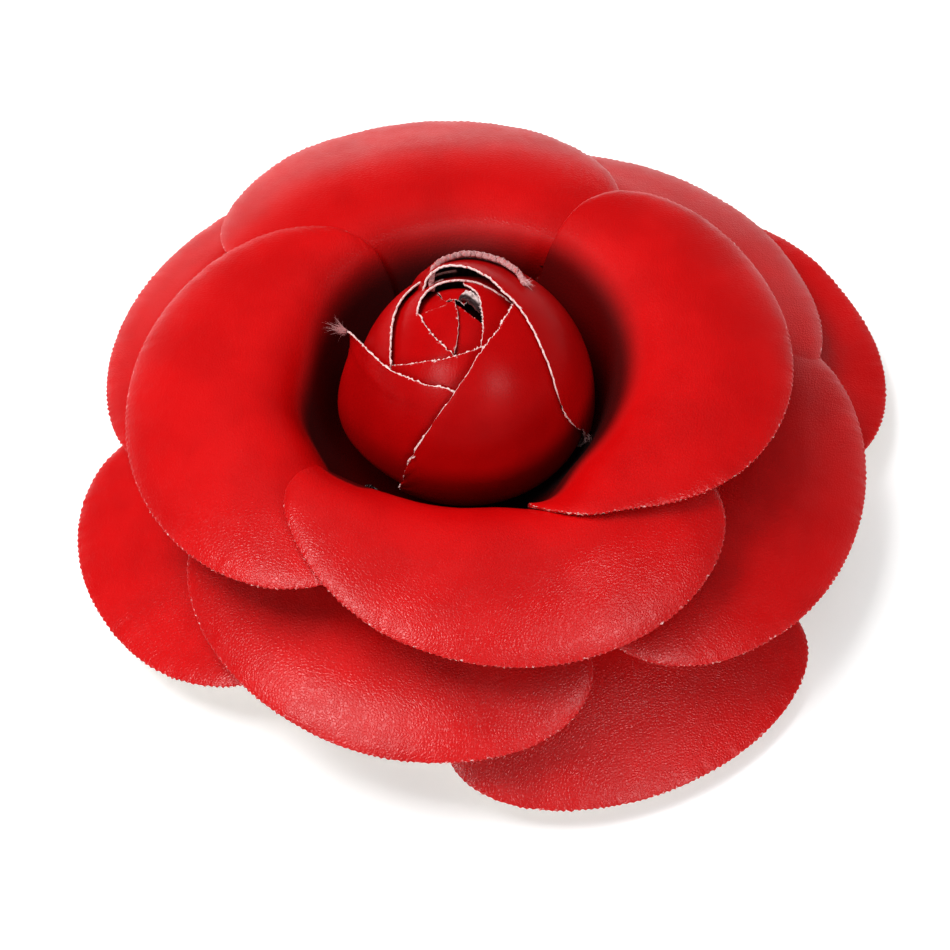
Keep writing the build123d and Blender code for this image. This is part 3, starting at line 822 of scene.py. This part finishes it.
def spring_wire():
    """One wire: lower leg, coil round the pin and upper leg."""
    pin = np.array(frame["joints"][0]["pos_m"]) / MM
    coil, wire, pitch, slope = 1.6, 0.3, 0.7, 15
    lower_leg, upper_leg, turns = 9.6, 5.8, 4
    sweep = 360 * turns + 2 * (90 - slope)
    turn = np.radians(np.linspace(-(90 - slope), sweep - (90 - slope), 260))
    length = pitch * sweep / 360
    line = np.stack([pin[0] + coil * np.cos(turn), np.linspace(length / 2, -length / 2, len(turn)),
                     pin[2] + coil * np.sin(turn)], -1)
    start, end = unit(line[1] - line[0]), unit(line[-1] - line[-2])
    legs = np.linspace(1, 0, 24, endpoint=False)[:, None]
    first_leg = line[0] - legs * lower_leg * start
    last_leg = line[-1] + legs[::-1] * upper_leg * end
    line = np.vstack([first_leg, line, last_leg])
    heading = unit(np.gradient(line, axis=0))
    side = unit(np.cross(heading, np.cross([0.0, 1.0, 0.0], heading)))
    up = np.cross(heading, side)
    around = np.linspace(0, 2 * math.pi, 14, endpoint=False)
    tube = line[:, None] + wire * (np.cos(around)[None, :, None] * side[:, None]
                                   + np.sin(around)[None, :, None] * up[:, None])
    rows, columns = tube.shape[:2]
    i = np.arange(rows * columns).reshape(rows, columns)
    following = np.roll(i, -1, axis=1)
    quads = np.stack([i[:-1], following[:-1], following[1:], i[1:]], -1).reshape(-1, 4)
    faces = quads.tolist() + [i[0, ::-1].tolist(), i[-1].tolist()]
    mesh = bpy.data.meshes.new("jaw_spring_wire")
    mesh.from_pydata((tube.reshape(-1, 3) * MM).tolist(), [], faces)
    mesh.materials.append(wire_metal)
    mesh.polygons.foreach_set("use_smooth", [True] * len(faces))
    piece = bpy.data.objects.new("jaw_spring_wire", mesh)
    bpy.context.scene.collection.objects.link(piece)
    return piece, pin, length


spring, pin, coil_length = spring_wire()
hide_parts("jaw_spring")
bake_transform(spring)


# ------------------------------------------------------------------ stage, light and camera
def ground():
    s = Shader("paper_ground", Specular_IOR_Level=0.1, Emission_Color=(1, 1, 1, 1),
               Emission_Strength=0.25)
    shade = s.mix(s.noise(60, 2), (0.90, 0.90, 0.90), (0.93, 0.93, 0.93))
    half, z = 1500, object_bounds()[0][2] / MM
    corners = [(-half, -half, z), (half, -half, z), (half, half, z), (-half, half, z)]
    paper = s.finish(shade, 0.9, s.bump(s.noise(3), 0.02, 0.2))
    new_mesh("floor", corners, [(0, 1, 2, 3)], [paper])


def softbox(name, place, aim, size, power, diffuse=True, glossy=True):
    light = bpy.data.lights.new(name, "AREA")
    light.shape = "RECTANGLE"
    light.size, light.size_y = size
    light.energy = power
    lamp = bpy.data.objects.new(name, light)
    lamp.location = place
    direction = np.array(aim) - np.array(place)
    lamp.rotation_euler = Vector(direction).to_track_quat("-Z", "Y").to_euler()
    lamp.visible_diffuse = diffuse
    lamp.visible_glossy = glossy
    bpy.context.scene.collection.objects.link(lamp)


ground()
softbox("key", (-0.44, 0.18, 0.78), (0, 0, 0.02), (0.55, 0.55), 6.7, glossy=False)
softbox("front", (0.30, -0.80, 0.32), (0, 0, 0.01), (0.5, 0.3), 2.7, glossy=False)
softbox("top", (0.0, 0.1, 0.9), (0, 0, 0.02), (0.7, 0.7), 1.3, glossy=False)
softbox("sheen_left", (-0.40, -0.50, 0.55), (0, 0, 0.02), (0.22, 0.18), 4.4, diffuse=False)
softbox("sheen_right", (0.44, -0.50, 0.50), (0, 0, 0.02), (0.22, 0.18), 2.4, diffuse=False)
world = bpy.data.worlds.new("studio")
world.use_nodes = True
world.node_tree.nodes["Background"].inputs["Color"].default_value = (1, 1, 1, 1)
world.node_tree.nodes["Background"].inputs["Strength"].default_value = 0.16
bpy.context.scene.world = world
bpy.context.scene.view_settings.view_transform = "Standard"
bpy.context.scene.view_settings.look = "Medium High Contrast"

ELEVATION = math.radians(56)
DISTANCE = 0.48
AIM = Vector((0.00115, -0.0048, 0.0108))
view = bpy.data.cameras.new("camera")
view.sensor_width = 36
view.lens = 142
camera = bpy.data.objects.new("camera", view)
camera.location = AIM + DISTANCE * Vector((0, -math.cos(ELEVATION), math.sin(ELEVATION)))
camera.rotation_euler = (math.pi / 2 - ELEVATION, 0, 0)
bpy.context.scene.collection.objects.link(camera)
bpy.context.scene.camera = camera
